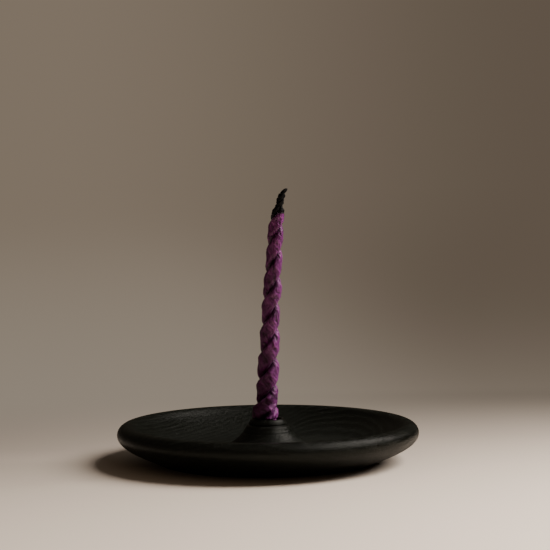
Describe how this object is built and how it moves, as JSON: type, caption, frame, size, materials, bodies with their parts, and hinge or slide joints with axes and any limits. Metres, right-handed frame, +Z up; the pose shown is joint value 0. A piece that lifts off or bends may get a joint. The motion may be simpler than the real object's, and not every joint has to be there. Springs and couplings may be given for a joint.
{
  "type": "incense burner",
  "caption": "Round turned wooden incense dish with a flared boss and socket in its middle, holding an upright stick of twisted paper rope incense with a burnt tip.",
  "frame": {"origin": "centre of the dish's flat foot, on the surface it stands on", "axes": "+Z up along the dish's axis; the rope incense leans towards +X"},
  "size_m": [0.12, 0.12, 0.108],
  "materials": {
    "stained_wood": "black stain, oiled, satin",
    "purple_paper": "dyed hand-made paper, creased, slightly glossy",
    "incense_powder": "ground bark and herb powder, packed",
    "charred_paper": "carbonised, matt, brittle"
  },
  "bodies": {
    "burner": {"dish": "stained_wood"},
    "rope_incense": {"strand_1_paper_wrap": "purple_paper", "strand_2_paper_wrap": "purple_paper", "strand_1_powder_filling": "incense_powder", "strand_2_powder_filling": "incense_powder", "strand_1_burnt_end": "charred_paper", "strand_2_burnt_end": "charred_paper"}
  },
  "joints": [
    {"name": "rope_lift", "type": "slide", "parent": "burner", "child": "rope_incense", "axis": [0, 0, 1], "range_m": [0, 0.03]}
  ]
}
